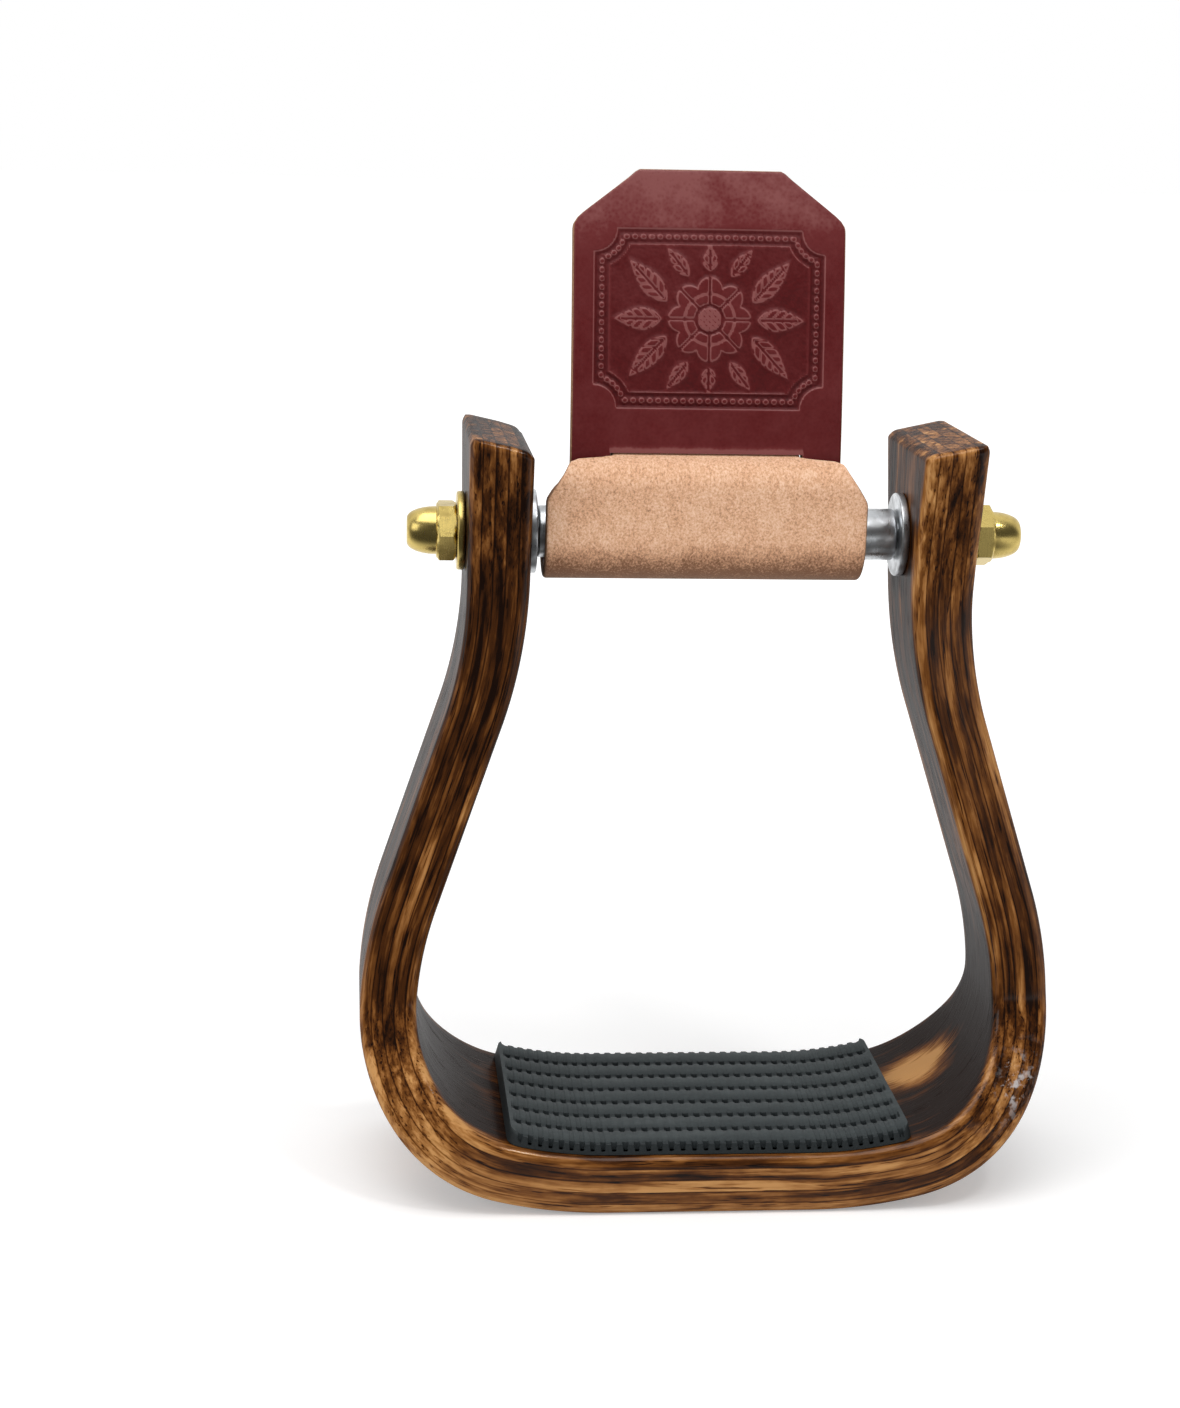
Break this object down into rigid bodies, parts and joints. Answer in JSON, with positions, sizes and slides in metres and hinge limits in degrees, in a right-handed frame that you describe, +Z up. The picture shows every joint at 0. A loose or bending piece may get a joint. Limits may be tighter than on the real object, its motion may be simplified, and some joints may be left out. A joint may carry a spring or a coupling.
{
  "type": "western saddle stirrup",
  "caption": "Bent laminated wood stirrup with a wide flared tread, grooved rubber pad, bolted roller bar with acorn nuts, and a folded leather keeper that stands on the roller.",
  "frame": {"origin": "on the surface that the tread stands on, under the middle of the bow", "axes": "+X along the bolt towards the right arm, -Y towards the front, +Z up from the tread to the neck"},
  "size_m": [0.1438, 0.055, 0.2092],
  "materials": {
    "burnt_oak": "oak, torch burnt in dark streaks and varnished to a gloss",
    "tread_rubber": "matte charcoal rubber, grooved",
    "zinc_plated_steel": "zinc plated, satin to bright",
    "solid_brass": "polished",
    "burgundy_leather": "burgundy grain side with a light sheen, tan suede flesh side, 3.2 mm thick"
  },
  "bodies": {
    "bow": {"bow_ply_1": "burnt_oak", "bow_ply_2": "burnt_oak", "bow_ply_3": "burnt_oak", "bow_ply_4": "burnt_oak", "bow_ply_5": "burnt_oak", "tread_pad": "tread_rubber", "bolt": "zinc_plated_steel", "inner_washer_left": "zinc_plated_steel", "inner_washer_right": "zinc_plated_steel", "outer_washer_left": "solid_brass", "outer_washer_right": "solid_brass", "acorn_nut_left": "solid_brass", "acorn_nut_right": "solid_brass"},
    "roller": {"roller": "zinc_plated_steel"},
    "keeper": {"leather_keeper": "burgundy_leather"}
  },
  "joints": [
    {"name": "roller_spin", "type": "hinge", "parent": "bow", "child": "roller", "pos_m": [0, 0, 0.1372], "axis": [1, 0, 0], "continuous": true},
    {"name": "keeper_swing", "type": "hinge", "parent": "bow", "child": "keeper", "pos_m": [0, 0, 0.1372], "axis": [1, 0, 0], "continuous": true}
  ]
}
